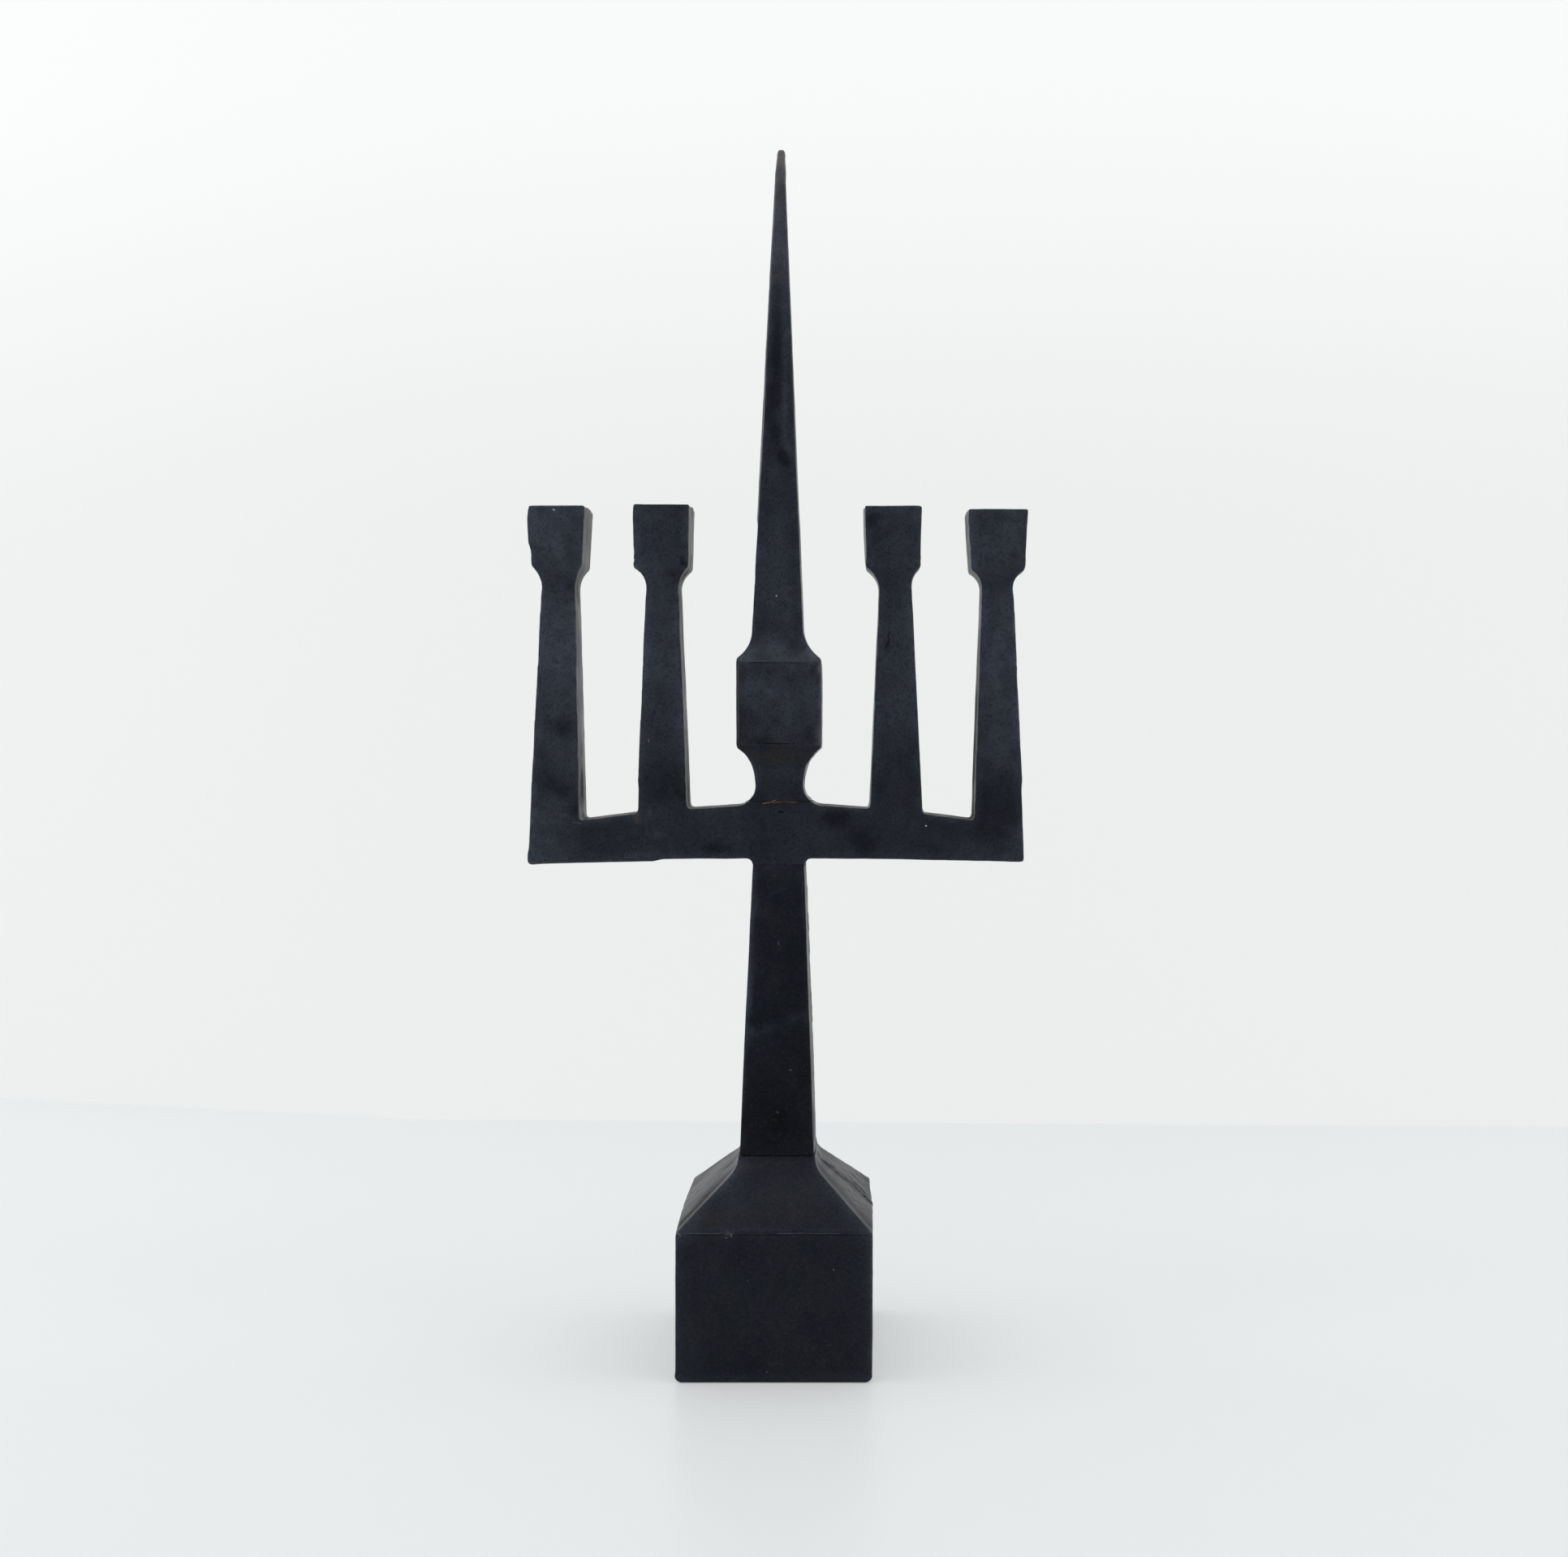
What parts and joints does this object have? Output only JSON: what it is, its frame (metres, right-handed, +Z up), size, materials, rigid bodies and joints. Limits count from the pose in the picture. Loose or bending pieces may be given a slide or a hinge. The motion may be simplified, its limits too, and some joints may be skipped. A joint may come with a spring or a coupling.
{
  "type": "candelabra",
  "caption": "Free-standing black cast-iron candelabra: a square block base, a tapered stem, a crossbar of upright arms with square candle cups, and a tall central spire.",
  "frame": {"origin": "middle of the foot, on the surface that the candelabra stands on", "axes": "+Z up, +X along the crossbar to the right of someone facing the candelabra, -Y towards them"},
  "size_m": [0.2486, 0.0936, 0.6007],
  "materials": {
    "black_iron": "satin blue-black paint over a fine sand-cast surface",
    "zinc_steel": "zinc plated",
    "felt": "pressed wool felt"
  },
  "bodies": {
    "root": {"base_block": "black_iron", "base_felt": "felt", "stem": "black_iron", "candle_frame": "black_iron", "spire": "black_iron", "tie_rod": "zinc_steel", "tie_rod_nut": "zinc_steel", "spring_washer": "zinc_steel", "plate_washer": "zinc_steel", "stem_foot_dowel": "zinc_steel", "stem_head_dowel": "zinc_steel", "spire_dowel": "zinc_steel"}
  },
  "joints": []
}
